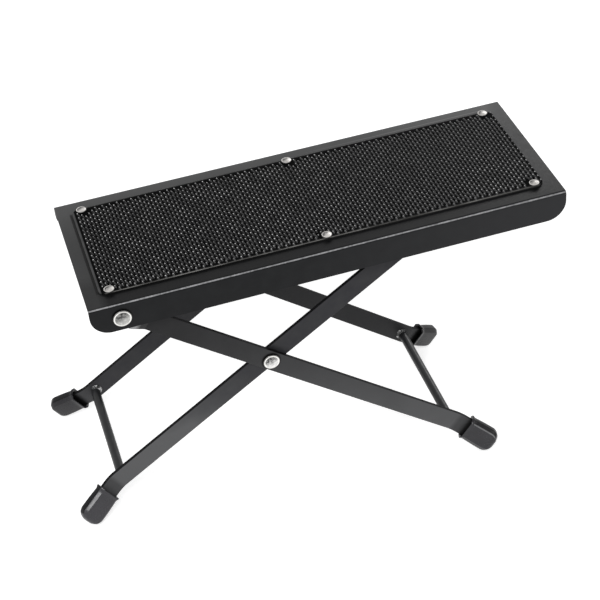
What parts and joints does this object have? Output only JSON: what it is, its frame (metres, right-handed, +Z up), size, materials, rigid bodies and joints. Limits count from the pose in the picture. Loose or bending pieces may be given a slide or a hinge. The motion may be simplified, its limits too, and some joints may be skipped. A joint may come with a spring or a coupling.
{
  "type": "folding guitar footrest",
  "caption": "Folding foot stand: a sheet steel tray with a studded rubber mat, on crossed flat legs with rod braces and rubber boots.",
  "frame": {"origin": "middle of the base, on the floor between the four boots", "axes": "+X along the tray to its raised end, +Y to the rear across the tray, +Z up"},
  "size_m": [0.3038, 0.1218, 0.1977],
  "materials": {
    "steel_paint": "satin black powder coat",
    "mat_rubber": "matt, studded",
    "boot_rubber": "smooth, satin",
    "nickel": "bright nickel plate",
    "washer_steel": "plain steel"
  },
  "bodies": {
    "outer_legs": {"outer_leg_front": "steel_paint", "outer_leg_rear": "steel_paint", "outer_lower_rod": "steel_paint", "outer_rod_weld_front": "steel_paint", "outer_rod_weld_rear": "steel_paint", "right_boot_front": "boot_rubber", "right_boot_rear": "boot_rubber", "crossing_washer_front": "washer_steel", "crossing_washer_rear": "washer_steel", "crossing_rivet_front": "nickel", "crossing_rivet_rear": "nickel"},
    "inner_legs": {"inner_leg_front": "steel_paint", "inner_leg_rear": "steel_paint", "inner_lower_rod": "steel_paint", "inner_rod_weld_front": "steel_paint", "inner_rod_weld_rear": "steel_paint", "upper_rod": "steel_paint", "upper_rod_weld_front": "steel_paint", "upper_rod_weld_rear": "steel_paint", "left_boot_front": "boot_rubber", "left_boot_rear": "boot_rubber"},
    "platform": {"tray": "steel_paint", "mat": "mat_rubber", "rack_front": "steel_paint", "rack_rear": "steel_paint", "pivot_rivet_front": "nickel", "pivot_rivet_rear": "nickel", "pivot_washer_front": "washer_steel", "pivot_washer_rear": "washer_steel", "mat_rivet_left_front": "nickel", "mat_rivet_left_rear": "nickel", "mat_rivet_middle_front": "nickel", "mat_rivet_middle_rear": "nickel", "mat_rivet_right_front": "nickel", "mat_rivet_right_rear": "nickel"}
  },
  "joints": [
    {"name": "legs_fold", "type": "hinge", "parent": "outer_legs", "child": "inner_legs", "pos_m": [-0.02812, 0, 0.10144], "axis": [0, 1, 0], "range_deg": [0, 60]},
    {"name": "platform_lift", "type": "hinge", "parent": "outer_legs", "child": "platform", "pos_m": [-0.11814, 0, 0.159], "axis": [0, -1, 0], "range_deg": [0, 20]}
  ],
  "couplings": [
    {"joint": "platform_lift", "follows": "legs_fold", "ratio": 0.3333}
  ]
}
